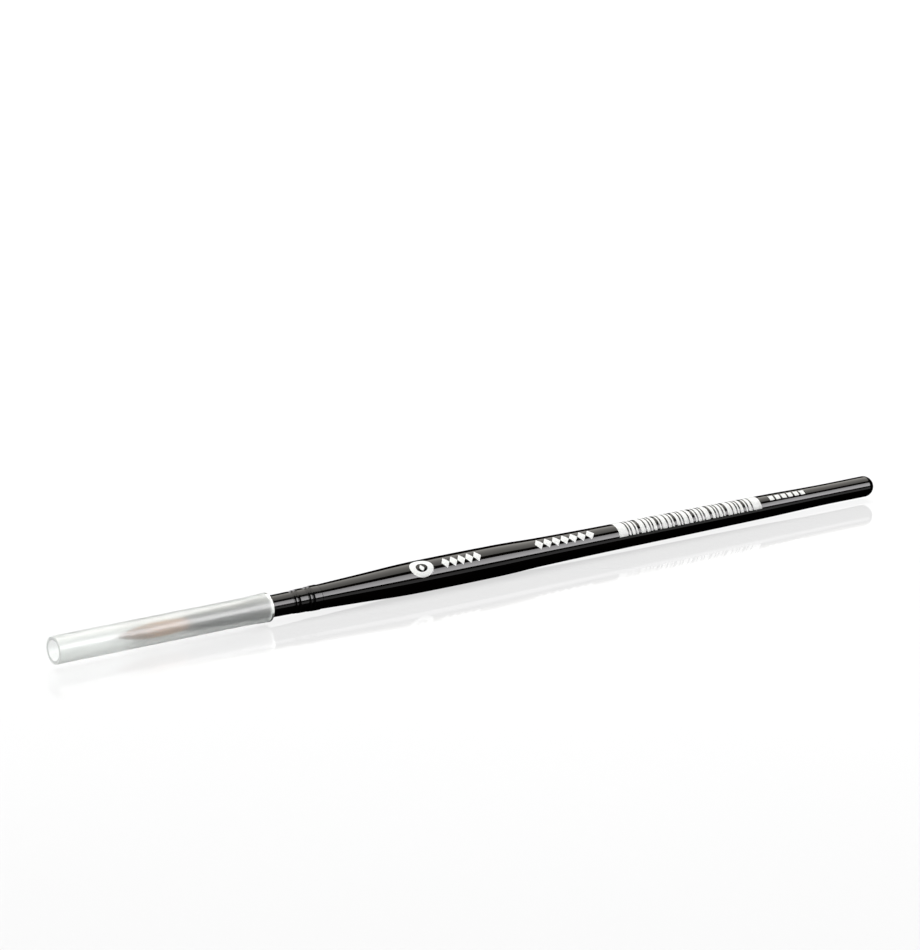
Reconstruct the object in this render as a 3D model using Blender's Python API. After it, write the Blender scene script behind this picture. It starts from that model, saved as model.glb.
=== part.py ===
"""A fine detail brush, lying on its side with its travel tube pushed on over the hairs.

Metres, +Z up. The brush runs along X: the tube's open front end faces -X, the handle's rounded
tail faces +X, and the belly of the handle rests on z = 0.

Every turned piece is modelled standing on its own axis, with its local Z running towards the
tail, and is laid down by the empty that all the pieces hang from. A place along the brush is
called a station, and is measured from the tube's open front end.
"""

from math import cos, pi, sin

import bmesh
import bpy

MM = 0.001

# The whole brush
BRUSH_LENGTH = 195.0 * MM
BELLY_RADIUS = 3.12 * MM
SIDES = 16                      # facets round a turned piece; the one it lies on faces down
FIT_GAP = 0.05 * MM             # air between two pieces that sit one inside the other
END_GAP = 0.1 * MM              # air between two faces that meet end to end

# Travel tube, open at both ends
TUBE_LENGTH = 44.6 * MM
TUBE_BORE_RADIUS = 1.90 * MM
TUBE_WALL = 0.65 * MM
TUBE_EDGE = 0.10 * MM           # chamfer on its outer edges
TUBE_RINGS = 7                  # rings in the stretch that the ferrule spreads

# Ferrule, a drawn tube that tapers towards the hairs
FERRULE_MOUTH = 27.2 * MM
FERRULE_CONE_END = 45.0 * MM
FERRULE_REAR = 56.0 * MM
MOUTH_RADIUS = 1.47 * MM
CONE_END_RADIUS = 2.05 * MM
FERRULE_REAR_RADIUS = 2.20 * MM
FERRULE_WALL = 0.25 * MM

# Double crimps that press the ferrule into the handle's tenon
CRIMPS = (50.1 * MM, 53.1 * MM)
CRIMP_WIDTH = 1.5 * MM
CRIMP_DEPTH = 0.15 * MM
CRIMP_STEPS = 4                 # two grooves with a ridge between them

# Hairs: a free, pointed belly, and roots held in the ferrule
HAIR_TIP = 12.4 * MM
HAIR_ROOT = 38.0 * MM
HAIR_OUTLINE = (
    (HAIR_TIP, 0.0),
    (13.2 * MM, 0.17 * MM),
    (15.2 * MM, 0.68 * MM),
    (17.8 * MM, 1.19 * MM),
    (20.6 * MM, 1.39 * MM),
    (24.0 * MM, 1.31 * MM),
    (FERRULE_MOUTH, MOUTH_RADIUS - FERRULE_WALL - FIT_GAP),
)
HAIR_NECK = 34.0 * MM           # where the bundle is drawn in by its thread
HAIR_ROOT_RADIUS = 1.05 * MM

# Thread wound round the roots
THREAD_START = 34.8 * MM
THREAD_RADIUS = 0.09 * MM
THREAD_TURNS = 5
THREAD_PITCH = 0.24 * MM
THREAD_POINTS = 16              # in each turn

# Resin cup that the root ends are set in
RESIN_FRONT = 36.6 * MM
RESIN_REAR = 41.5 * MM

# Tenon at the front of the handle, and the glue round it
TENON_FRONT = 43.0 * MM
TENON_CHAMFER = 0.4 * MM
GLUE_FRONT = 43.8 * MM
GLUE_REAR = 55.6 * MM
GLUE_THICKNESS = 0.12 * MM

# Handle behind the ferrule
SHOULDER = FERRULE_REAR + END_GAP
SHOULDER_RADIUS = 2.30 * MM
SHOULDER_EDGE = 0.06 * MM
TAIL_RADIUS = 2.16 * MM
TAIL_STEPS = 5
HANDLE_OUTLINE = (
    (SHOULDER + SHOULDER_EDGE, SHOULDER_RADIUS),
    (66.0 * MM, 2.66 * MM),
    (78.0 * MM, 3.08 * MM),
    (88.0 * MM, BELLY_RADIUS),
    (98.0 * MM, 3.08 * MM),
    (108.0 * MM, 2.81 * MM),
    (122.0 * MM, 2.64 * MM),
    (145.0 * MM, 2.51 * MM),
    (166.0 * MM, 2.36 * MM),
    (183.0 * MM, 2.13 * MM),
    (BRUSH_LENGTH - TAIL_RADIUS, TAIL_RADIUS),
)
HANDLE_STEPS = 3                # rings in each span of the outline


def clear_scene():
    """Remove every object that is already in the scene."""
    for old in list(bpy.data.objects):
        bpy.data.objects.remove(old, do_unlink=True)


def material(name, colour, roughness, metallic=0.0, transmission=0.0):
    """A plain Principled BSDF material."""
    made = bpy.data.materials.new(name)
    made.use_nodes = True
    made.diffuse_color = (*colour, 1.0)
    shader = made.node_tree.nodes["Principled BSDF"]
    shader.inputs["Base Color"].default_value = (*colour, 1.0)
    shader.inputs["Roughness"].default_value = roughness
    shader.inputs["Metallic"].default_value = metallic
    shader.inputs["Transmission Weight"].default_value = transmission
    return made


def brush_axis():
    """The empty that lays the pieces down: its local Z is the brush's length, towards the tail."""
    axis = bpy.data.objects.new("brush_axis", None)
    axis.location = (-BRUSH_LENGTH / 2, 0.0, BELLY_RADIUS)
    axis.rotation_euler = (0.0, pi / 2, 0.0)
    bpy.context.scene.collection.objects.link(axis)
    return axis


def place(piece, axis, station):
    """Hang a piece on the brush's axis with its origin at a station."""
    piece.parent = axis
    piece.location = (0.0, 0.0, station)
    bpy.context.scene.collection.objects.link(piece)
    return piece


def turned(name, section, made_of, axis):
    """Spin a closed section of (station, radius) points round the brush's axis.

    Its origin is on the axis at its first point. The facets touch the true round surface from
    outside, so that the flat one underneath is exactly one radius below the axis.
    """
    origin = section[0][0]
    reach = 1.0 / cos(pi / SIDES)
    half_facet = pi / SIDES
    mesh = bmesh.new()
    outline = []
    for station, radius in section:
        across = radius * reach
        point = (across * cos(half_facet), across * sin(half_facet), station - origin)
        outline.append(mesh.verts.new(point))
    ends_on_axis = section[0][1] == 0.0 and section[-1][1] == 0.0
    pairs = list(zip(outline, outline[1:]))
    if not ends_on_axis:
        pairs.append((outline[-1], outline[0]))
    edges = [mesh.edges.new(pair) for pair in pairs]
    bmesh.ops.spin(
        mesh, geom=outline + edges, cent=(0, 0, 0), axis=(0, 0, 1), angle=2 * pi, steps=SIDES,
        use_merge=True)
    bmesh.ops.remove_doubles(mesh, verts=mesh.verts, dist=0.001 * MM)
    bmesh.ops.recalc_face_normals(mesh, faces=mesh.faces)
    data = bpy.data.meshes.new(name)
    mesh.to_mesh(data)
    mesh.free()
    data.shade_smooth()
    data.set_sharp_from_angle(angle=pi / 6)
    data.materials.append(made_of)
    return place(bpy.data.objects.new(name, data), axis, origin)


def spread(first, last, count):
    """Evenly spaced values from first to last, count of them in all."""
    return [first + (last - first) * i / (count - 1) for i in range(count)]


def smooth_curve(points, steps):
    """Points on a smooth curve through the given ones, with steps rings in each span.

    The slope at a point is the harmonic mean of the slopes on both sides, and level at a peak or
    a waist, so the curve never swells past the points that it goes through.
    """
    chords = [(y1 - y0) / (x1 - x0) for (x0, y0), (x1, y1) in zip(points, points[1:])]
    slopes = [chords[0]]
    for before, after in zip(chords, chords[1:]):
        same_way = before * after > 0.0
        slopes.append(2 * before * after / (before + after) if same_way else 0.0)
    slopes.append(chords[-1])
    curve = [points[0]]
    for i in range(len(points) - 1):
        (x0, y0), (x1, y1) = points[i], points[i + 1]
        span = x1 - x0
        for t in spread(0.0, 1.0, steps + 1)[1:]:
            rise = y0 * (1 + 2 * t) * (1 - t) ** 2 + y1 * t * t * (3 - 2 * t)
            lean = slopes[i] * t * (1 - t) ** 2 - slopes[i + 1] * t * t * (1 - t)
            curve.append((x0 + span * t, rise + span * lean))
    return curve


def ferrule_radius(station):
    """Outer radius of the ferrule, with its crimps pressed in."""
    if station < FERRULE_CONE_END:
        share = (station - FERRULE_MOUTH) / (FERRULE_CONE_END - FERRULE_MOUTH)
        radius = MOUTH_RADIUS + share * (CONE_END_RADIUS - MOUTH_RADIUS)
    else:
        share = (station - FERRULE_CONE_END) / (FERRULE_REAR - FERRULE_CONE_END)
        radius = CONE_END_RADIUS + share * (FERRULE_REAR_RADIUS - CONE_END_RADIUS)
    for centre in CRIMPS:
        across = (station - centre) / CRIMP_WIDTH
        if abs(across) < 0.5:
            radius -= CRIMP_DEPTH * sin(2 * pi * across) ** 2
    return radius


def crimp_stations():
    """The stations of the rings that shape both crimps."""
    half = CRIMP_WIDTH / 2
    stations = []
    for centre in CRIMPS:
        stations += spread(centre - half, centre + half, CRIMP_STEPS + 1)
    return stations


def inside_ferrule(stations, depth):
    """Points a given depth under the ferrule's outer surface."""
    return [(station, ferrule_radius(station) - depth) for station in stations]


def protective_tube(made_of, axis):
    """The travel tube: a straight bore, spread at the rear by the ferrule that it grips."""
    cone = (CONE_END_RADIUS - MOUTH_RADIUS) / (FERRULE_CONE_END - FERRULE_MOUTH)
    grip = FERRULE_MOUTH + (TUBE_BORE_RADIUS - FIT_GAP - MOUTH_RADIUS) / cone
    bore = [(0.0, TUBE_BORE_RADIUS)]
    bore += [(s, ferrule_radius(s) + FIT_GAP) for s in spread(grip, TUBE_LENGTH, TUBE_RINGS)]
    skin = [(s, r + TUBE_WALL) for s, r in bore]
    (front, front_radius), (rear, rear_radius) = skin[0], skin[-1]
    skin[0] = (front + TUBE_EDGE, front_radius)
    skin[-1] = (rear - TUBE_EDGE, rear_radius)
    skin = [(front, front_radius - TUBE_EDGE), *skin, (rear, rear_radius - TUBE_EDGE)]
    return turned("protective_tube", bore[:1] + skin + bore[:0:-1], made_of, axis)


def hair_tuft(made_of, axis):
    """The bundle of hairs: a pointed belly, and roots drawn in where the thread holds them."""
    neck = (HAIR_NECK, HAIR_ROOT_RADIUS)
    roots = [neck, (HAIR_ROOT, HAIR_ROOT_RADIUS), (HAIR_ROOT, 0.0)]
    return turned("hair_tuft", smooth_curve(HAIR_OUTLINE, 2) + roots, made_of, axis)


def binding_thread(made_of, axis):
    """A few turns of thread round the roots."""
    root_reach = HAIR_ROOT_RADIUS / cos(pi / SIDES)
    wound = (root_reach + FIT_GAP + THREAD_RADIUS) / cos(pi / THREAD_POINTS)
    curve = bpy.data.curves.new("binding_thread", "CURVE")
    curve.dimensions = "3D"
    curve.bevel_depth = THREAD_RADIUS
    curve.bevel_resolution = 1
    curve.render_resolution_u = 0
    curve.use_fill_caps = True
    spline = curve.splines.new("POLY")
    count = THREAD_TURNS * THREAD_POINTS + 1
    spline.points.add(count - 1)
    for i, point in enumerate(spline.points):
        turn = i / THREAD_POINTS
        angle = 2 * pi * turn
        place_on_helix = (wound * cos(angle), wound * sin(angle), turn * THREAD_PITCH)
        point.co = (*place_on_helix, 1.0)
    curve.materials.append(made_of)
    thread = bpy.data.objects.new("binding_thread", curve)
    return place(thread, axis, THREAD_START)


def resin_plug(made_of, axis):
    """The set resin: a cup round the root ends, filling the ferrule behind them."""
    floor = HAIR_ROOT + END_GAP
    hollow = HAIR_ROOT_RADIUS + FIT_GAP
    wall = inside_ferrule((RESIN_FRONT, RESIN_REAR), FERRULE_WALL + FIT_GAP)
    section = [(floor, 0.0), (floor, hollow), (RESIN_FRONT, hollow), *wall, (RESIN_REAR, 0.0)]
    return turned("resin_plug", section, made_of, axis)


def ferrule(made_of, axis):
    """The drawn metal tube, rounded at its mouth and crimped near its rear."""
    lip = FERRULE_WALL / 2
    arc = []
    for angle in spread(-pi / 2, pi / 2, 5):
        arc.append((FERRULE_MOUTH + lip - lip * cos(angle), MOUTH_RADIUS - lip + lip * sin(angle)))
    stations = [FERRULE_CONE_END, *crimp_stations(), FERRULE_REAR]
    skin = inside_ferrule(stations, 0.0)
    bore = inside_ferrule(stations[::-1], FERRULE_WALL)
    return turned("ferrule", arc + skin + bore, made_of, axis)


def tenon_adhesive(made_of, axis):
    """The glue between the ferrule and the tenon, pressed in by the crimps too."""
    outer = FERRULE_WALL + FIT_GAP
    stations = [GLUE_FRONT, FERRULE_CONE_END, *crimp_stations(), GLUE_REAR]
    skin = inside_ferrule(stations, outer)
    bore = inside_ferrule(stations[::-1], outer + GLUE_THICKNESS)
    return turned("tenon_adhesive", skin + bore, made_of, axis)


def handle(made_of, axis):
    """The turned wooden handle: a grooved tenon, a shoulder, a belly and a rounded tail."""
    depth = FERRULE_WALL + FIT_GAP + GLUE_THICKNESS + FIT_GAP
    tip = ferrule_radius(TENON_FRONT) - depth - TENON_CHAMFER
    stations = [TENON_FRONT + TENON_CHAMFER, FERRULE_CONE_END, *crimp_stations()]
    tenon = [(TENON_FRONT, 0.0), (TENON_FRONT, tip), *inside_ferrule(stations, depth)]
    foot = (SHOULDER, ferrule_radius(FERRULE_REAR) - depth)
    edge = (SHOULDER, SHOULDER_RADIUS - SHOULDER_EDGE)
    tail_centre = BRUSH_LENGTH - TAIL_RADIUS
    tail = []
    for angle in spread(0.0, pi / 2, TAIL_STEPS + 1)[1:-1]:
        tail.append((tail_centre + TAIL_RADIUS * sin(angle), TAIL_RADIUS * cos(angle)))
    grip = smooth_curve(HANDLE_OUTLINE, HANDLE_STEPS)
    section = tenon + [foot, edge] + grip + tail + [(BRUSH_LENGTH, 0.0)]
    return turned("handle", section, made_of, axis)


def build():
    """Make every piece of the brush."""
    clear_scene()
    axis = brush_axis()
    milky_plastic = material("milky_polyethylene", (0.82, 0.84, 0.83), 0.45, transmission=0.6)
    protective_tube(milky_plastic, axis)
    hair_tuft(material("sable_hair", (0.24, 0.09, 0.03), 0.55), axis)
    binding_thread(material("linen_thread", (0.72, 0.66, 0.52), 0.8), axis)
    resin_plug(material("amber_resin", (0.45, 0.22, 0.06), 0.25), axis)
    ferrule(material("black_metal", (0.012, 0.012, 0.014), 0.18, metallic=0.4), axis)
    tenon_adhesive(material("cream_glue", (0.78, 0.72, 0.55), 0.5), axis)
    handle(material("black_lacquer", (0.006, 0.005, 0.005), 0.12), axis)


build()
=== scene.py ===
"""The looks of the fine detail brush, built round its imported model.

The handle, ferrule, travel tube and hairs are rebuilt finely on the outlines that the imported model
has, and the white printing is added. The tube's rear edge and the ferrule's crimps are moved a
little, to where the photograph has them. The glue, resin and thread, which are hidden, stay the
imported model's own with better materials.

Metres, +Z up. The brush lies along X, with the tube's open end facing -X. An angle round it is
measured from -Y, which faces the viewer, towards +Z.
"""

from math import ceil, cos, hypot, pi, radians, sin, sqrt
from random import Random

import bmesh
import bpy
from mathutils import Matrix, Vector
from numpy import interp


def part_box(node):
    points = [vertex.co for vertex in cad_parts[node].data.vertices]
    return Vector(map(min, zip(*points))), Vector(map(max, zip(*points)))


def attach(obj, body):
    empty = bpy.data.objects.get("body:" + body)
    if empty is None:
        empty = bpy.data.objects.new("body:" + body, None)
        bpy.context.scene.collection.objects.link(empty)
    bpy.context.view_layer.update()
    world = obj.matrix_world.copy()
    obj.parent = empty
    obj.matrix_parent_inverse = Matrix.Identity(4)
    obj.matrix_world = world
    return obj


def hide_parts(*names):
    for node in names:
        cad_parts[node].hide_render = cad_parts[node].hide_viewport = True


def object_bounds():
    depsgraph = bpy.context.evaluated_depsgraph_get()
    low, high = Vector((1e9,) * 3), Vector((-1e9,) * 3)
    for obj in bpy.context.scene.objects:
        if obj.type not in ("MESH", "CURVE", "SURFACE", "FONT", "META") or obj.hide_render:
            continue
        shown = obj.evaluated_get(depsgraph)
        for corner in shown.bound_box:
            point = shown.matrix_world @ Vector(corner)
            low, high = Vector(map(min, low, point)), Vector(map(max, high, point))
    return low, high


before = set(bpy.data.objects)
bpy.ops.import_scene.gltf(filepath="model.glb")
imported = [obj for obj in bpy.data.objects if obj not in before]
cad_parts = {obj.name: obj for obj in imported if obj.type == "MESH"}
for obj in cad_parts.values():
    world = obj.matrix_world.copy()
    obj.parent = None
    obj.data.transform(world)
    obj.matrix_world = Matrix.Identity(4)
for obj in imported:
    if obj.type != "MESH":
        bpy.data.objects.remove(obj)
cad_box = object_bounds()

MM = 0.001
MM_PER_METRE = 1000.0

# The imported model's frame
AXIS_Z = (cad_box[0].z + cad_box[1].z) / 2
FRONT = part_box("protective_tube")[0].x
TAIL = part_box("handle")[1].x
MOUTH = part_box("ferrule")[0].x
FERRULE_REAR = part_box("ferrule")[1].x
CAD_SIDES = 16                  # its turned solids' facets, which touch the round from outside

# Turned pieces
TURN_STEPS = 128
SPAN_STEPS = 6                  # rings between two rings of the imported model
EASE_STEPS = 5                  # points in a rounded edge, after its first
SAME_PLACE = 0.005 * MM         # rings nearer than this are at the same place
MERGE_DISTANCE = 0.0002 * MM
SHARP_ANGLE = radians(40)

# Handle
TAIL_RADIUS = 2.16 * MM
TAIL_STEPS = 24
TENON_EASE = 0.1 * MM
SHOULDER_CLEAR = 1.0 * MM       # the tenon's own rings stop this far in front of the shoulder

# Travel tube
TUBE_LIP = 0.4 * MM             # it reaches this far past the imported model's rear edge
OUTER_EASE = 0.10 * MM
BORE_EASE = 0.06 * MM
CORNER_LIFT = 0.01 * MM         # its rear corner is this much wider, so that it stands out
BORE_CLEAR = 2.0 * MM           # after its first, its bore's packed rings start this far back

# Ferrule. Each of its double crimps is two narrow grooves with a ridge between them.
FERRULE_WALL = 0.25 * MM
LIP_STEPS = 12                  # in the half circle of its rolled lip
FERRULE_OUTER_EASE = 0.10 * MM
FERRULE_BORE_EASE = 0.03 * MM
CRIMPS = (FRONT + 50.52 * MM, FRONT + 53.62 * MM)
GROOVE_PITCH = 0.88 * MM
GROOVE_WIDTH = 0.60 * MM
GROOVE_DEPTH = 0.30 * MM
CRIMP_STEPS = 40                # rings over a double crimp
SWELL = 0.10 * MM               # how much the radius grows behind each crimp
DENT = 0.05 * MM                # a packed ring this far below its neighbours is in a groove
REAR_REACH = 0.04 * MM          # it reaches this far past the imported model's rear edge

# Printing on the handle. A span is from one place to another, measured from the tube's front; an
# arc is from one angle to another, in degrees.
INK_PROUD = 0.012 * MM
INK_SUNK = 0.010 * MM
INK_STEP = 0.22 * MM
INK_RADIUS = 2.6 * MM           # the handle's usual radius, for counting steps in an arc
LOZENGE_STEPS = 12
LOZENGE_HALF = 0.47             # half a lozenge's width at its middle, as a share of its pitch
LOZENGE_END = 0.02              # what is added so that its ends aren't points
BLOCK_START = 0.15              # where a block starts in its pitch, as a share of it
BLOCK_WIDTH = 0.70
SHORT_ROW_SPAN = (83.3 * MM, 92.6 * MM)
SHORT_ROW_ARC = (30, 72)
SHORT_ROW_COUNT = 5
LONG_ROW_SPAN = (105.7 * MM, 120.4 * MM)
LONG_ROW_ARC = (29, 75)
LONG_ROW_COUNT = 7
TAIL_ROW_SPAN = (165.7 * MM, 175.7 * MM)
TAIL_ROW_ARC = (43, 71)
TAIL_ROW_COUNT = 6
STRIPE_SPAN = (126.2 * MM, 163.2 * MM)
STRIPE_ARC = (12, 138)
STRIPE_MARGIN = 2.2 * MM        # the plain white band at each end of the block
STRIPE_UNIT = 0.37 * MM
STRIPE_WHITES = (1, 2, 1, 3, 2)     # widths of the stripes and of the gaps, over and over
STRIPE_BLACKS = (1, 1, 2, 1)

# Badge: an oval ring round a drop; an oval is its half width along the brush and across it
BADGE_STATION = 78.65 * MM
BADGE_ANGLE = radians(50)
BADGE_HOLE = (1.30 * MM, 0.95 * MM)
BADGE_RIM = (2.60 * MM, 2.00 * MM)
BADGE_STEPS = 64
BADGE_RAILS = 6                 # ovals from its hole to its rim
DROP_LENGTH = 1.4 * MM
DROP_HALF = 0.66 * MM
DROP_POINT = 0.004 * MM         # what is added so that its ends aren't points
DROP_STEPS = 16

# Hairs
HAIRS = 1150
HAIR_SEED = 11
HAIR_RADIUS = 0.037 * MM
HAIR_RINGS = 18
HAIR_SIDES = 4
TIP_STAGGER = 5.4 * MM          # how far behind the tuft's tip the shortest hair ends
STAGGER_POWER = 1.2             # above 1, more of the tips are near the tuft's tip
RING_POWER = 1.2                # above 1, a hair's rings are closer together at its tip
TAPER_LENGTH = 9.0 * MM
TAPER_START = 0.02
TAPER_POWER = 0.55
JITTER = 0.02                   # how uneven the hairs' places round the tuft are, in radians
SWAY = 0.05                     # how far a hair swings round the tuft, in radians
SWAY_LENGTH = 3.1 * MM
SHADE_MEAN = 0.42               # of a hair between its darkest brown and its palest
SHADE_SPREAD = 0.27

# Materials
NOISE_LOW = 0.3                 # a noise is seldom below this or above the next
NOISE_HIGH = 0.7
PAINT_EDGE = 0.05               # in millimetres, on both sides of the lacquer's edge
BORE_SHADE_EDGE = (2.0, 2.4)          # from the tube's bore, toned darker as painted shade, to its skin, in millimetres from the axis
CUT_FACE = (-0.97, -0.85)       # the normal's part along the brush, from a cut end to its edge
CUT_ROUGHNESS = 0.60
CUT_CLEAR = 0.20                # how much light goes through
TUBE_ROUGHNESS = 0.28
TUBE_CLEAR = 0.84
PLASTIC_IOR = 1.45

# Camera: the photograph's angle, and what it aims at, seen from the object's middle
VIEW_AZIMUTH = radians(-36.27)
VIEW_ELEVATION = radians(14.53)
VIEW_DISTANCE = 685.3 * MM
AIM_RIGHT = -6.78 * MM
AIM_UP = 16.54 * MM
LENS = 135.0
CLIP = (0.01, 20.0)             # nearest and farthest seen

# Studio: the lit panels, which are seen in the brush's polish, and the floor
PANEL_DISTANCE = 0.9
PANEL_FRONT = -1.15
PANEL_REAR = 1.15
BACK_PANEL_REAR = 0.25          # short, so that the photograph's view doesn't see it
FLOOR_HALF = 6.0
FLOOR_GLOW = 0.66               # makes up for its dark tone, which keeps its mirror image clear
FLOOR_ROUGHNESS = 0.05
FLOOR_IOR = 1.45
WALL_SIDES = 48
WALL_REACH = 4.0
WALL_HEIGHT = 2.5
WALL_FOOT = -0.01


# ---------------------------------------------------------------- outlines


def rings(node, pick):
    """(x, radius) of each ring of a turned CAD node, front to rear; pick is max for its skin."""
    found = {}
    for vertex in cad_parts[node].data.vertices:
        x, y, z = vertex.co
        radius = hypot(y, z - AXIS_Z) * cos(pi / CAD_SIDES)
        found.setdefault(round(x, 6), []).append(radius)
    return [(x, pick(radii)) for x, radii in sorted(found.items())]


def between(outline, low, high):
    """The points of an outline from x = low to x = high."""
    low -= SAME_PLACE
    high += SAME_PLACE
    return [(x, radius) for x, radius in outline if low <= x <= high]


def smooth(points):
    """A smooth curve through points that never swells past them."""
    chords = [(y1 - y0) / (x1 - x0) for (x0, y0), (x1, y1) in zip(points, points[1:])]
    slopes = [chords[0]]
    for before, after in zip(chords, chords[1:]):
        same_way = before * after > 0.0
        slopes.append(2 * before * after / (before + after) if same_way else 0.0)
    slopes.append(chords[-1])
    curve = [points[0]]
    for i in range(len(points) - 1):
        (x0, y0), (x1, y1) = points[i], points[i + 1]
        span = x1 - x0
        for k in range(1, SPAN_STEPS + 1):
            t = k / SPAN_STEPS
            rise = y0 * (1 + 2 * t) * (1 - t) ** 2 + y1 * t * t * (3 - 2 * t)
            lean = slopes[i] * t * (1 - t) ** 2 - slopes[i + 1] * t * t * (1 - t)
            curve.append((x0 + span * t, rise + span * lean))
    return curve


def eased(before, corner, after, size):
    """A corner of an outline, rounded off over the given size on both sides."""
    corner = Vector(corner)
    start = corner + (Vector(before) - corner).normalized() * size
    end = corner + (Vector(after) - corner).normalized() * size
    points = []
    for k in range(EASE_STEPS + 1):
        t = k / EASE_STEPS
        points.append(tuple(start * (1 - t) ** 2 + corner * 2 * t * (1 - t) + end * t * t))
    return points


def turned(name, section, material):
    """Spin a closed section of (x, radius) points round the brush's axis."""
    mesh = bmesh.new()
    outline = [mesh.verts.new((x, 0.0, AXIS_Z + radius)) for x, radius in section]
    pairs = list(zip(outline, outline[1:]))
    if section[0][1] > 0.0:
        pairs.append((outline[-1], outline[0]))
    edges = [mesh.edges.new(pair) for pair in pairs]
    bmesh.ops.spin(
        mesh, geom=outline + edges, cent=(0, 0, AXIS_Z), axis=(1, 0, 0), angle=2 * pi,
        steps=TURN_STEPS, use_merge=True)
    bmesh.ops.remove_doubles(mesh, verts=mesh.verts, dist=MERGE_DISTANCE)
    bmesh.ops.recalc_face_normals(mesh, faces=mesh.faces)
    return finished(name, mesh, material)


def finished(name, mesh, material):
    """An object from a bmesh, smooth apart from its sharp edges."""
    data = bpy.data.meshes.new(name)
    mesh.to_mesh(data)
    mesh.free()
    data.shade_smooth()
    data.set_sharp_from_angle(angle=SHARP_ANGLE)
    data.materials.append(material)
    piece = bpy.data.objects.new(name, data)
    bpy.context.scene.collection.objects.link(piece)
    return piece


# ---------------------------------------------------------------- materials


def new_material(name):
    """A material with its node tree, its shader, and object coordinates in millimetres."""
    made = bpy.data.materials.new(name)
    made.use_nodes = True
    tree = made.node_tree
    place = tree.nodes.new("ShaderNodeTexCoord")
    scale = tree.nodes.new("ShaderNodeVectorMath")
    scale.operation = "SCALE"
    scale.inputs["Scale"].default_value = MM_PER_METRE
    tree.links.new(place.outputs["Object"], scale.inputs[0])
    return made, tree, tree.nodes["Principled BSDF"], scale.outputs[0]


def stretched(tree, place, along):
    """Coordinates squeezed along X, so that a pattern runs in long lines down the brush."""
    mapping = tree.nodes.new("ShaderNodeMapping")
    mapping.inputs["Scale"].default_value = (along, 1.0, 1.0)
    tree.links.new(place, mapping.inputs["Vector"])
    return mapping.outputs["Vector"]


def noise(tree, place, scale, detail=3.0, roughness=0.5):
    """A noise from 0 to 1; scale is in waves per millimetre."""
    texture = tree.nodes.new("ShaderNodeTexNoise")
    texture.inputs["Scale"].default_value = scale
    texture.inputs["Detail"].default_value = detail
    texture.inputs["Roughness"].default_value = roughness
    tree.links.new(place, texture.inputs["Vector"])
    return texture.outputs["Fac"]


def ranged(tree, value, low, high, to_low, to_high):
    """Map a value's range onto another, and stop at its ends."""
    mapped = tree.nodes.new("ShaderNodeMapRange")
    mapped.inputs["From Min"].default_value = low
    mapped.inputs["From Max"].default_value = high
    mapped.inputs["To Min"].default_value = to_low
    mapped.inputs["To Max"].default_value = to_high
    tree.links.new(value, mapped.inputs["Value"])
    return mapped.outputs["Result"]


def ramp(tree, value, *stops):
    """A colour ramp; each stop is (place, (red, green, blue))."""
    colours = tree.nodes.new("ShaderNodeValToRGB")
    elements = colours.color_ramp.elements
    while len(elements) < len(stops):
        elements.new(0.5)
    for element, (place, colour) in zip(elements, stops):
        element.position = place
        element.color = (*colour, 1.0)
    tree.links.new(value, colours.inputs["Fac"])
    return colours.outputs["Color"]


def two_tone(tree, value, dark, light):
    """A colour that goes from dark to light as a noise rises."""
    return ramp(tree, value, (NOISE_LOW, dark), (NOISE_HIGH, light))


def uneven_roughness(tree, shader, value, low, high):
    """Let the shader's roughness follow a noise, from low to high."""
    roughness = ranged(tree, value, NOISE_LOW, NOISE_HIGH, low, high)
    tree.links.new(roughness, shader.inputs["Roughness"])


def mixed(tree, factor, first, second):
    """Two colours mixed by a factor from 0 to 1."""
    mix = tree.nodes.new("ShaderNodeMix")
    mix.data_type = "RGBA"
    tree.links.new(factor, mix.inputs["Factor"])
    tree.links.new(first, mix.inputs[6])
    tree.links.new(second, mix.inputs[7])
    return mix.outputs[2]


def bumped(tree, shader, height, strength, depth):
    """Give the shader's surface a bump; depth is in metres."""
    bump = tree.nodes.new("ShaderNodeBump")
    bump.inputs["Strength"].default_value = strength
    bump.inputs["Distance"].default_value = depth
    tree.links.new(height, bump.inputs["Height"])
    tree.links.new(bump.outputs["Normal"], shader.inputs["Normal"])


def x_of(tree, place):
    """The part of a vector that lies along the brush."""
    parts = tree.nodes.new("ShaderNodeSeparateXYZ")
    tree.links.new(place, parts.inputs["Vector"])
    return parts.outputs["X"]


def off_axis(tree, place):
    """The distance from the brush's axis, in millimetres."""
    shift = tree.nodes.new("ShaderNodeVectorMath")
    shift.operation = "SUBTRACT"
    shift.inputs[1].default_value = (0.0, 0.0, AXIS_Z * MM_PER_METRE)
    tree.links.new(place, shift.inputs[0])
    flat = tree.nodes.new("ShaderNodeVectorMath")
    flat.operation = "MULTIPLY"
    flat.inputs[1].default_value = (0.0, 1.0, 1.0)
    tree.links.new(shift.outputs[0], flat.inputs[0])
    length = tree.nodes.new("ShaderNodeVectorMath")
    length.operation = "LENGTH"
    tree.links.new(flat.outputs[0], length.inputs[0])
    return length.outputs["Value"]


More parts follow.
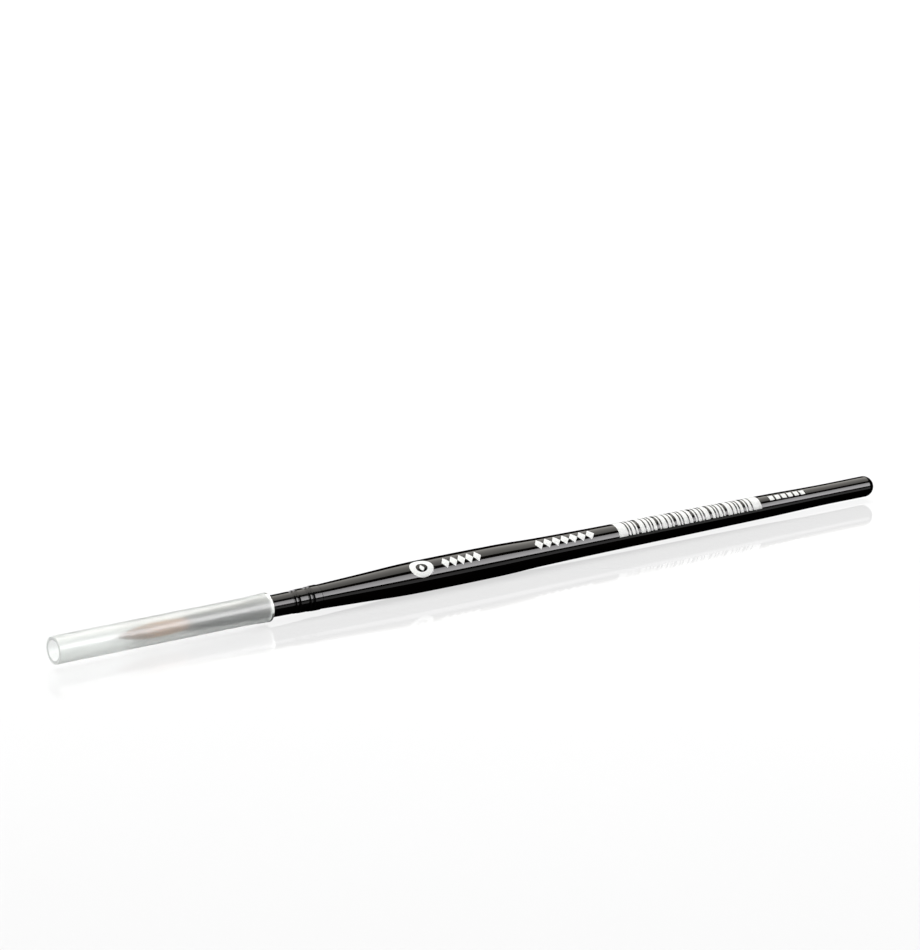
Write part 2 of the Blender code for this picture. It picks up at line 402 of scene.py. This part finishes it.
def lacquered_wood():
    """Gloss black lacquer over turned hardwood; the tenon in front of the shoulder is bare."""
    made, tree, shader, place = new_material("black_lacquer")
    wavy = noise(tree, stretched(tree, place, 0.12), 0.9, 2.0)
    peel = noise(tree, place, 2.6, 2.0)
    lacquer = two_tone(tree, wavy, (0.0012, 0.0010, 0.0009), (0.0030, 0.0022, 0.0018))
    grain = noise(tree, stretched(tree, place, 0.06), 7.0, 5.0, 0.65)
    wood = two_tone(tree, grain, (0.42, 0.24, 0.12), (0.66, 0.45, 0.26))
    shoulder = FERRULE_REAR * MM_PER_METRE
    bare_to, painted_from = shoulder - PAINT_EDGE, shoulder + PAINT_EDGE
    painted = ranged(tree, x_of(tree, place), bare_to, painted_from, 0.0, 1.0)
    tree.links.new(mixed(tree, painted, wood, lacquer), shader.inputs["Base Color"])
    gloss = ranged(tree, peel, NOISE_LOW, NOISE_HIGH, 0.035, 0.065)
    bare = tree.nodes.new("ShaderNodeMix")
    bare.inputs["A"].default_value = 0.6
    tree.links.new(painted, bare.inputs["Factor"])
    tree.links.new(gloss, bare.inputs["B"])
    tree.links.new(bare.outputs[0], shader.inputs["Roughness"])
    bumped(tree, shader, peel, 0.02, 0.02 * MM)
    return made


def black_metal():
    """The ferrule's gloss black finish over faint lines that run the way it was drawn."""
    made, tree, shader, place = new_material("black_metal")
    lines = noise(tree, stretched(tree, place, 0.02), 9.0, 4.0, 0.6)
    tone = two_tone(tree, lines, (0.0015, 0.0014, 0.0015), (0.004, 0.0036, 0.0036))
    tree.links.new(tone, shader.inputs["Base Color"])
    uneven_roughness(tree, shader, lines, 0.06, 0.12)
    bumped(tree, shader, lines, 0.05, 0.004 * MM)
    return made


def milky_plastic():
    """Extruded polyethylene: blurs and whitens what is behind it; the cut open end is frosted. Its
    bore is toned darker than its skin, as painted shade in the hollow.
    """
    made, tree, shader, place = new_material("milky_polyethylene")
    cloud = noise(tree, stretched(tree, place, 0.1), 1.1, 3.0)
    skin = two_tone(tree, cloud, (0.78, 0.80, 0.785), (0.82, 0.835, 0.82))
    # painted shade: the bore gets a darker tone than the skin, for the shade inside the hollow tube
    bore = two_tone(tree, cloud, (0.68, 0.70, 0.69), (0.72, 0.735, 0.725))
    outside = ranged(tree, off_axis(tree, place), *BORE_SHADE_EDGE, 0.0, 1.0)
    tree.links.new(mixed(tree, outside, bore, skin), shader.inputs["Base Color"])
    facing = tree.nodes.new("ShaderNodeTexCoord")
    cut = x_of(tree, facing.outputs["Normal"])
    rough = ranged(tree, cut, *CUT_FACE, CUT_ROUGHNESS, TUBE_ROUGHNESS)
    tree.links.new(rough, shader.inputs["Roughness"])
    clear = ranged(tree, cut, *CUT_FACE, CUT_CLEAR, TUBE_CLEAR)
    tree.links.new(clear, shader.inputs["Transmission Weight"])
    shader.inputs["IOR"].default_value = PLASTIC_IOR
    return made


def sable():
    """Red-brown hair with a dark tip; each hair has a shade of its own."""
    made, tree, shader, place = new_material("sable_hair")
    along = x_of(tree, place)
    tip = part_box("hair_tuft")[0].x * MM_PER_METRE
    mouth = MOUTH * MM_PER_METRE
    length = ranged(tree, along, tip, mouth, 0.0, 1.0)
    brown = ramp(
        tree, length, (0.0, (0.035, 0.013, 0.006)), (0.22, (0.125, 0.048, 0.014)),
        (0.6, (0.25, 0.105, 0.028)), (1.0, (0.19, 0.085, 0.035)))
    pale = ramp(
        tree, length, (0.0, (0.06, 0.025, 0.012)), (0.22, (0.27, 0.115, 0.035)),
        (0.6, (0.48, 0.235, 0.075)), (1.0, (0.36, 0.185, 0.085)))
    shade = tree.nodes.new("ShaderNodeAttribute")
    shade.attribute_name = "shade"
    tree.links.new(mixed(tree, shade.outputs["Fac"], brown, pale), shader.inputs["Base Color"])
    fleck = noise(tree, stretched(tree, place, 0.3), 12.0, 2.0)
    uneven_roughness(tree, shader, fleck, 0.36, 0.5)
    return made


def waxed_thread():
    """Linen thread with the slanting marks of its twist."""
    made, tree, shader, place = new_material("linen_thread")
    twist = tree.nodes.new("ShaderNodeTexWave")
    twist.bands_direction = "DIAGONAL"
    twist.inputs["Scale"].default_value = 4.0
    twist.inputs["Distortion"].default_value = 1.5
    tree.links.new(place, twist.inputs["Vector"])
    tone = ramp(tree, twist.outputs["Fac"], (0.1, (0.52, 0.45, 0.30)), (0.8, (0.78, 0.72, 0.57)))
    tree.links.new(tone, shader.inputs["Base Color"])
    shader.inputs["Roughness"].default_value = 0.75
    bumped(tree, shader, twist.outputs["Fac"], 0.5, 0.02 * MM)
    return made


def amber_resin():
    """Set resin, clouded and full of small bubbles."""
    made, tree, shader, place = new_material("amber_resin")
    bubbles = tree.nodes.new("ShaderNodeTexVoronoi")
    bubbles.inputs["Scale"].default_value = 3.5
    tree.links.new(place, bubbles.inputs["Vector"])
    spot = ranged(tree, bubbles.outputs["Distance"], 0.12, 0.3, 1.0, 0.0)
    cloud = noise(tree, place, 1.4, 3.0)
    body = two_tone(tree, cloud, (0.36, 0.15, 0.035), (0.58, 0.29, 0.09))
    froth = two_tone(tree, cloud, (0.62, 0.40, 0.18), (0.70, 0.48, 0.24))
    tree.links.new(mixed(tree, spot, body, froth), shader.inputs["Base Color"])
    shader.inputs["Roughness"].default_value = 0.22
    shader.inputs["Transmission Weight"].default_value = 0.25
    bumped(tree, shader, spot, 0.3, 0.02 * MM)
    return made


def cream_glue():
    """Dried wood glue, uneven in colour and surface."""
    made, tree, shader, place = new_material("cream_glue")
    lumps = noise(tree, place, 2.2, 4.0, 0.6)
    tone = two_tone(tree, lumps, (0.58, 0.49, 0.30), (0.80, 0.74, 0.56))
    tree.links.new(tone, shader.inputs["Base Color"])
    uneven_roughness(tree, shader, lumps, 0.35, 0.6)
    bumped(tree, shader, lumps, 0.3, 0.02 * MM)
    return made


def white_ink():
    """Thin white printing, a little uneven, so that the black shows through in places."""
    made, tree, shader, place = new_material("white_ink")
    thin = noise(tree, place, 5.0, 4.0, 0.7)
    tone = ramp(tree, thin, (0.34, (0.62, 0.63, 0.62)), (0.5, (0.88, 0.89, 0.87)))
    tree.links.new(tone, shader.inputs["Base Color"])
    uneven_roughness(tree, shader, thin, 0.5, 0.35)
    bumped(tree, shader, thin, 0.15, 0.01 * MM)
    return made


# ---------------------------------------------------------------- turned pieces


def handle_outline():
    """The shown part of the handle: a small shoulder, the belly and a tail like half a ball."""
    centre = TAIL - TAIL_RADIUS
    body = between(rings("handle", max), FERRULE_REAR, centre)
    edge, start = body[0], body[1]
    grip = smooth(body[1:])
    for k in range(1, TAIL_STEPS):
        angle = pi / 2 * k / TAIL_STEPS
        grip.append((centre + TAIL_RADIUS * sin(angle), TAIL_RADIUS * cos(angle)))
    corner = (edge[0], start[1])
    shoulder = eased((edge[0], edge[1] / 2), corner, start, start[0] - edge[0])
    return shoulder + grip[1:] + [(TAIL, 0.0)]


GRIP = handle_outline()


def lacquered_handle(material):
    """The handle, with its grooved tenon in the ferrule."""
    face = min(x for x, _ in GRIP)
    tenon = rings("handle", max)
    front = tenon[0]
    wood = smooth(between(tenon[1:], front[0] + TENON_EASE, face - SHOULDER_CLEAR))
    foot = rings("handle", min)
    foot_radius = between(foot, face, face)[0][1]
    bevel = eased((front[0], 0.0), front, wood[0], TENON_EASE)
    section = [(front[0], 0.0), *bevel, *wood, (face, foot_radius), *GRIP]
    return turned("lacquered_handle", section, material)


def undented(outline):
    """An outline without the rings that its crimps press in."""
    kept = [outline[0]]
    for before, here, after in zip(outline, outline[1:], outline[2:]):
        share = (here[0] - before[0]) / (after[0] - before[0])
        level = before[1] + (after[1] - before[1]) * share
        if here[1] > level - DENT:
            kept.append(here)
    return kept + [outline[-1]]


def crimped(x, radius):
    """The ferrule's radius at x, with its crimps' grooves, and wider behind each crimp."""
    for crimp in CRIMPS:
        radius += SWELL * min(1.0, max(0.0, (x - crimp) / GROOVE_PITCH + 0.5))
        for groove in (crimp - GROOVE_PITCH / 2, crimp + GROOVE_PITCH / 2):
            across = abs(x - groove) / GROOVE_WIDTH
            if across < 0.5:
                radius -= GROOVE_DEPTH * (1 - 2 * across)
    return radius


def drawn_ferrule(material):
    """The ferrule, with a rolled lip at its mouth and both double crimps."""
    lip = FERRULE_WALL / 2
    rear = FERRULE_REAR + REAR_REACH
    base = undented(between(rings("ferrule", max), MOUTH + lip, FERRULE_REAR))
    xs, radii = [x for x, _ in base], [radius for _, radius in base]
    places = [xs[0], xs[1]]
    for crimp in CRIMPS:
        start = crimp - GROOVE_PITCH / 2 - GROOVE_WIDTH / 2
        reach = GROOVE_PITCH + GROOVE_WIDTH
        places += [start + reach * k / CRIMP_STEPS for k in range(CRIMP_STEPS + 1)]
    places.append(rear)
    skin = [(x, crimped(x, interp(x, xs, radii))) for x in places]
    bore = smooth(between(rings("ferrule", min), MOUTH + lip, FERRULE_REAR))
    bore[-1] = (rear, bore[-1][1])
    middle = skin[0][1] - lip
    mouth = []
    for k in range(1, LIP_STEPS):
        angle = pi * (k / LIP_STEPS - 0.5)
        mouth.append((MOUTH + lip - lip * cos(angle), middle + lip * sin(angle)))
    outer = eased(skin[-2], skin[-1], bore[-1], FERRULE_OUTER_EASE)
    inner = eased(skin[-1], bore[-1], bore[-2], FERRULE_BORE_EASE)
    section = mouth + skin[:-1] + outer + inner + bore[-2::-1]
    return turned("drawn_ferrule", section, material)


def travel_tube(material):
    """The travel tube, cut square and a little rounded at both ends."""
    skin = rings("protective_tube", max)
    skin[-1] = (skin[-1][0] + TUBE_LIP, skin[-1][1])
    inside = rings("protective_tube", min)
    bore = smooth(inside[:1] + between(inside, FRONT + BORE_CLEAR, TAIL))
    bore[-1] = (bore[-1][0] + TUBE_LIP, bore[-1][1])
    front, rear = skin[0][0], skin[-1][0]
    wall = smooth(skin[1:-1])
    front_corner = (front, wall[0][1])
    rear_corner = (rear, wall[-1][1] + CORNER_LIFT)
    section = [
        *eased(bore[1], bore[0], front_corner, BORE_EASE),
        *eased(bore[0], front_corner, wall[1], OUTER_EASE),
        *wall[1:-1],
        *eased(wall[-2], rear_corner, bore[-1], OUTER_EASE),
        *eased(rear_corner, bore[-1], bore[-2], BORE_EASE),
        *bore[-2:0:-1],
    ]
    return turned("travel_tube", section, material)


# ---------------------------------------------------------------- hairs


def hair_tuft(material):
    """Every hair of the tuft, each tapering to its own tip inside the tuft's outline."""
    rng = Random(HAIR_SEED)
    outline = smooth(rings("hair_tuft", max)[:-1])
    xs = [x for x, _ in outline]
    radii = [radius for _, radius in outline]
    root = xs[-1]
    verts, faces, shades = [], [], []
    golden = pi * (3 - sqrt(5))
    for i in range(HAIRS):
        share = sqrt((i + 0.5) / HAIRS)
        angle = golden * i + rng.uniform(-JITTER, JITTER)
        tip = xs[0] + TIP_STAGGER * rng.random() ** STAGGER_POWER
        sway = rng.uniform(-SWAY, SWAY)
        phase = rng.uniform(0, 2 * pi)
        shade = min(1.0, max(0.0, rng.gauss(SHADE_MEAN, SHADE_SPREAD)))
        first = len(verts)
        for k in range(HAIR_RINGS):
            x = tip + (root - tip) * (k / (HAIR_RINGS - 1)) ** RING_POWER
            taper = min(1.0, (x - tip) / TAPER_LENGTH + TAPER_START) ** TAPER_POWER
            thick = HAIR_RADIUS * taper
            reach = max(0.0, interp(x, xs, radii) - thick) * share
            turn = angle + sway * sin(phase + (x - tip) / SWAY_LENGTH)
            y, z = reach * cos(turn), AXIS_Z + reach * sin(turn)
            for side in range(HAIR_SIDES):
                corner = turn + 2 * pi * side / HAIR_SIDES
                verts.append((x, y + thick * cos(corner), z + thick * sin(corner)))
                shades.append(shade)
        for k in range(HAIR_RINGS - 1):
            for side in range(HAIR_SIDES):
                a = first + k * HAIR_SIDES + side
                b = first + k * HAIR_SIDES + (side + 1) % HAIR_SIDES
                faces.append((a, a + HAIR_SIDES, b + HAIR_SIDES, b))
        last = first + (HAIR_RINGS - 1) * HAIR_SIDES
        faces.append(tuple(range(first, first + HAIR_SIDES)))
        faces.append(tuple(range(last + HAIR_SIDES - 1, last - 1, -1)))
    data = bpy.data.meshes.new("hair_strands")
    data.from_pydata(verts, [], faces)
    data.attributes.new("shade", "FLOAT", "POINT").data.foreach_set("value", shades)
    data.shade_smooth()
    data.materials.append(material)
    piece = bpy.data.objects.new("hair_strands", data)
    bpy.context.scene.collection.objects.link(piece)
    return piece


# ---------------------------------------------------------------- printing


def handle_radius(x):
    """The handle's radius at x."""
    return interp(x, [point[0] for point in GRIP], [point[1] for point in GRIP])


def on_handle(station, angle, lift):
    """A point on the handle, at a distance from the tube's front and an angle from -Y."""
    x = FRONT + station
    radius = handle_radius(x) + lift
    return (x, -radius * cos(angle), AXIS_Z + radius * sin(angle))


def print_ladder(mesh, rails, loop=False):
    """Thin closed ink that joins rails of (station, angle) points on the handle, side by side."""
    rows = []
    for across in zip(*rails):
        top = [mesh.verts.new(on_handle(*point, INK_PROUD)) for point in across]
        bottom = [mesh.verts.new(on_handle(*point, -INK_SUNK)) for point in across]
        rows.append(top + bottom[::-1])
    pairs = list(zip(rows, rows[1:]))
    if loop:
        pairs.append((rows[-1], rows[0]))
    else:
        mesh.faces.new(rows[0])
        mesh.faces.new(rows[-1][::-1])
    count = len(rows[0])
    for here, there in pairs:
        for i in range(count):
            j = (i + 1) % count
            mesh.faces.new((here[i], here[j], there[j], there[i]))


def print_bar(mesh, start, end, low, high):
    """A bar from one station to another, between two angles."""
    steps = max(2, ceil((high - low) * INK_RADIUS / INK_STEP))
    angles = [low + (high - low) * k / steps for k in range(steps + 1)]
    print_ladder(mesh, ([(start, a) for a in angles], [(end, a) for a in angles]))


def print_lozenges(name, span, arc, count, material):
    """A row of plain lozenges over a span and an arc."""
    mesh = bmesh.new()
    start, end = span
    low, high = (radians(angle) for angle in arc)
    pitch = (end - start) / count
    for i in range(count):
        middle = start + (i + 0.5) * pitch
        left, right = [], []
        for k in range(LOZENGE_STEPS + 1):
            share = k / LOZENGE_STEPS
            half = (LOZENGE_HALF * (1 - abs(2 * share - 1)) + LOZENGE_END) * pitch
            left.append((middle - half, low + (high - low) * share))
            right.append((middle + half, low + (high - low) * share))
        print_ladder(mesh, (left, right))
    return printed(name, mesh, material)


def print_blocks(name, span, arc, count, material):
    """A row of plain blocks over a span and an arc."""
    mesh = bmesh.new()
    start, end = span
    low, high = (radians(angle) for angle in arc)
    pitch = (end - start) / count
    for i in range(count):
        at = start + (i + BLOCK_START) * pitch
        print_bar(mesh, at, at + BLOCK_WIDTH * pitch, low, high)
    return printed(name, mesh, material)


def printed(name, mesh, material):
    """A finished piece of printing."""
    bmesh.ops.recalc_face_normals(mesh, faces=mesh.faces)
    return finished(name, mesh, material)


def print_badge(material):
    """A plain heavy ring round a paint drop."""
    mesh = bmesh.new()
    radius = handle_radius(FRONT + BADGE_STATION)
    rails = []
    for rail in range(BADGE_RAILS):
        share = rail / (BADGE_RAILS - 1)
        along, across = (h + (r - h) * share for h, r in zip(BADGE_HOLE, BADGE_RIM))
        oval = []
        for k in range(BADGE_STEPS):
            turn = 2 * pi * k / BADGE_STEPS
            height = across * sin(turn)
            oval.append((BADGE_STATION + along * cos(turn), BADGE_ANGLE + height / radius))
        rails.append(oval)
    print_ladder(mesh, rails, loop=True)
    left, right = [], []
    for k in range(DROP_STEPS + 1):
        t = k / DROP_STEPS
        half = DROP_HALF * sin(pi * t) * sqrt(1.02 - t) + DROP_POINT
        angle = BADGE_ANGLE + (t - 0.5) * DROP_LENGTH / radius
        left.append((BADGE_STATION - half, angle))
        right.append((BADGE_STATION + half, angle))
    print_ladder(mesh, (left, right))
    return printed("print_badge", mesh, material)


def print_stripes(material):
    """A block of plain stripes round the handle. Their widths follow a rule and mean nothing."""
    mesh = bmesh.new()
    low, high = (radians(angle) for angle in STRIPE_ARC)
    start, end = STRIPE_SPAN
    print_bar(mesh, start, start + STRIPE_MARGIN, low, high)
    print_bar(mesh, end - STRIPE_MARGIN, end, low, high)
    at = start + STRIPE_MARGIN + STRIPE_UNIT
    last = end - STRIPE_MARGIN - STRIPE_UNIT
    i = 0
    while at < last - STRIPE_UNIT:
        white = STRIPE_WHITES[i % len(STRIPE_WHITES)] * STRIPE_UNIT
        print_bar(mesh, at, min(at + white, last), low, high)
        at += white + STRIPE_BLACKS[i % len(STRIPE_BLACKS)] * STRIPE_UNIT
        i += 1
    return printed("print_stripes", mesh, material)


# ---------------------------------------------------------------- studio


def at_angle(angle, distance, x):
    """A point off the brush, at an angle from -Y towards +Z."""
    return Vector((x, -distance * cos(angle), AXIS_Z + distance * sin(angle)))


def glow(name, colour, low, high):
    """A light-giving material, as strong as low at its -Y side and as high at its +Y side."""
    made = bpy.data.materials.new(name)
    made.use_nodes = True
    tree = made.node_tree
    tree.nodes.clear()
    place = tree.nodes.new("ShaderNodeTexCoord")
    parts = tree.nodes.new("ShaderNodeSeparateXYZ")
    tree.links.new(place.outputs["Generated"], parts.inputs["Vector"])
    emission = tree.nodes.new("ShaderNodeEmission")
    emission.inputs["Color"].default_value = (*colour, 1.0)
    strength = ranged(tree, parts.outputs["Y"], 0.0, 1.0, low, high)
    tree.links.new(strength, emission.inputs["Strength"])
    output = tree.nodes.new("ShaderNodeOutputMaterial")
    tree.links.new(emission.outputs["Emission"], output.inputs["Surface"])
    return made


def softbox(name, arc, material, rear=PANEL_REAR):
    """A long lit panel beside the brush, over an arc in degrees. The camera doesn't see it."""
    low, high = (radians(angle) for angle in arc)
    reach = PANEL_DISTANCE / cos((high - low) / 2)
    corners = [at_angle(angle, reach, x) for angle, x in (
        (low, PANEL_FRONT), (low, rear), (high, rear), (high, PANEL_FRONT))]
    data = bpy.data.meshes.new(name)
    data.from_pydata(corners, [], [(0, 1, 2, 3)])
    data.materials.append(material)
    panel = bpy.data.objects.new(name, data)
    bpy.context.scene.collection.objects.link(panel)
    panel.visible_camera = False
    panel.visible_diffuse = False
    panel.visible_shadow = False
    return panel


def fill_light(name, location, size, power):
    """A big soft light that leaves no reflection of its own."""
    data = bpy.data.lights.new(name, "AREA")
    data.shape = "SQUARE"
    data.size = size
    data.energy = power
    lamp = bpy.data.objects.new(name, data)
    lamp.location = location
    towards = Vector((0, 0, AXIS_Z)) - lamp.location
    lamp.rotation_euler = towards.to_track_quat("-Z", "Y").to_euler()
    lamp.visible_camera = False
    lamp.visible_glossy = False
    lamp.visible_transmission = False
    bpy.context.scene.collection.objects.link(lamp)


def pale_floor():
    """A plain white floor with a polished surface."""
    made, tree, shader, place = new_material("pale_floor")
    haze = noise(tree, place, 0.004, 2.0)
    tone = two_tone(tree, haze, (0.09, 0.09, 0.09), (0.10, 0.10, 0.10))
    tree.links.new(tone, shader.inputs["Base Color"])
    shader.inputs["Roughness"].default_value = FLOOR_ROUGHNESS
    shader.inputs["IOR"].default_value = FLOOR_IOR
    shader.inputs["Emission Color"].default_value = (1, 1, 1, 1)
    shader.inputs["Emission Strength"].default_value = FLOOR_GLOW
    half = FLOOR_HALF
    data = bpy.data.meshes.new("floor")
    data.from_pydata(
        [(-half, -half, 0), (half, -half, 0), (half, half, 0), (-half, half, 0)],
        [], [(0, 1, 2, 3)])
    data.materials.append(made)
    floor = bpy.data.objects.new("floor", data)
    bpy.context.scene.collection.objects.link(floor)
    floor.visible_glossy = False
    floor.visible_diffuse = False
    return floor


def surround(floor):
    """A white wall all round that only the floor's polish reflects."""
    count = WALL_SIDES
    turns = [2 * pi * i / count for i in range(count)]
    low = [(WALL_REACH * cos(turn), WALL_REACH * sin(turn), WALL_FOOT) for turn in turns]
    high = [(x, y, WALL_HEIGHT) for x, y, _ in low]
    faces = [(i, (i + 1) % count, count + (i + 1) % count, count + i) for i in range(count)]
    data = bpy.data.meshes.new("surround")
    data.from_pydata(low + high, [], faces)
    data.materials.append(glow("surround_glow", (1, 1, 1), low=1.0, high=1.0))
    wall = bpy.data.objects.new("surround", data)
    bpy.context.scene.collection.objects.link(wall)
    wall.visible_camera = False
    wall.visible_diffuse = False
    wall.visible_transmission = False
    wall.visible_shadow = False
    receivers = bpy.data.collections.new("floor_only")
    receivers.objects.link(floor)
    wall.light_linking.receiver_collection = receivers


def white_world():
    """A white background, which neither lights nor is reflected by the brush."""
    world = bpy.data.worlds.new("studio")
    world.use_nodes = True
    world.node_tree.nodes["Background"].inputs["Color"].default_value = (1, 1, 1, 1)
    bpy.context.scene.world = world
    world.cycles_visibility.diffuse = False
    world.cycles_visibility.glossy = False


def camera():
    """The photograph's view."""
    data = bpy.data.cameras.new("camera")
    data.lens = LENS
    data.clip_start, data.clip_end = CLIP
    made = bpy.data.objects.new("camera", data)
    bpy.context.scene.collection.objects.link(made)
    level = cos(VIEW_ELEVATION)
    back = Vector((sin(VIEW_AZIMUTH) * level, -cos(VIEW_AZIMUTH) * level, sin(VIEW_ELEVATION)))
    turn = (-back).to_track_quat("-Z", "Y")
    right, up = turn @ Vector((1, 0, 0)), turn @ Vector((0, 1, 0))
    centre = (cad_box[0] + cad_box[1]) / 2
    made.location = centre + back * VIEW_DISTANCE + right * AIM_RIGHT + up * AIM_UP
    made.rotation_euler = turn.to_euler()
    bpy.context.scene.camera = made


# ---------------------------------------------------------------- putting it together


def dress(node, material):
    """Give a CAD node that stays shown its material."""
    for material_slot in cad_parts[node].material_slots:
        material_slot.material = material


def build_brush():
    """Make every piece of the brush, and name the body that it rides on."""
    handle = lacquered_handle(lacquered_wood())
    ferrule = drawn_ferrule(black_metal())
    hairs = hair_tuft(sable())
    tube = travel_tube(milky_plastic())
    shown = (
        (handle, "handle", "brush", "black_lacquer"),
        (ferrule, "ferrule", "brush", "black_metal"),
        (hairs, "hair_tuft", "brush", "sable_hair"),
        (tube, "protective_tube", "travel_tube", "milky_polyethylene"),
    )
    for piece, cad_node, body, finish in shown:
        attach(piece, body)
        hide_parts(cad_node)
    tube.visible_shadow = False
    ink = white_ink()
    printing = (
        print_badge(ink),
        print_lozenges("print_short_row", SHORT_ROW_SPAN, SHORT_ROW_ARC, SHORT_ROW_COUNT, ink),
        print_lozenges("print_long_row", LONG_ROW_SPAN, LONG_ROW_ARC, LONG_ROW_COUNT, ink),
        print_stripes(ink),
        print_blocks("print_tail_row", TAIL_ROW_SPAN, TAIL_ROW_ARC, TAIL_ROW_COUNT, ink),
    )
    for piece in printing:
        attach(piece, "brush")
    dress("binding_thread", waxed_thread())
    dress("resin_plug", amber_resin())
    dress("tenon_adhesive", cream_glue())


def build_studio():
    """The floor, the lights and the camera."""
    white_world()
    surround(pale_floor())
    overhead_glow = glow("overhead_glow", (1.0, 0.97, 0.91), low=1.4, high=2.7)
    softbox("softbox_overhead", (70, 137), overhead_glow)
    front_glow = glow("front_glow", (1.0, 0.98, 1.0), low=8.8, high=5.2)
    softbox("softbox_front", (14, 49), front_glow)
    low_glow = glow("low_glow", (1.0, 1.0, 1.0), low=0.5, high=0.7)
    softbox("softbox_low", (-19, 1), low_glow)
    back_glow = glow("back_glow", (1.0, 0.98, 1.0), low=4.0, high=4.0)
    back = softbox("softbox_back", (143, 175), back_glow, rear=BACK_PANEL_REAR)
    back.visible_transmission = False
    fill_light("fill_above", (0.0, 0.2, 2.2), size=2.0, power=54.0)
    fill_light("fill_front", (-0.6, -2.2, 1.2), size=2.0, power=20.0)
    fill_light("fill_back", (0.6, 2.2, 1.2), size=2.0, power=6.0)
    fill_light("fill_end", (-2.2, -0.4, 0.7), size=1.2, power=34.0)
    bpy.context.scene.view_settings.view_transform = "Standard"
    camera()


build_brush()
build_studio()
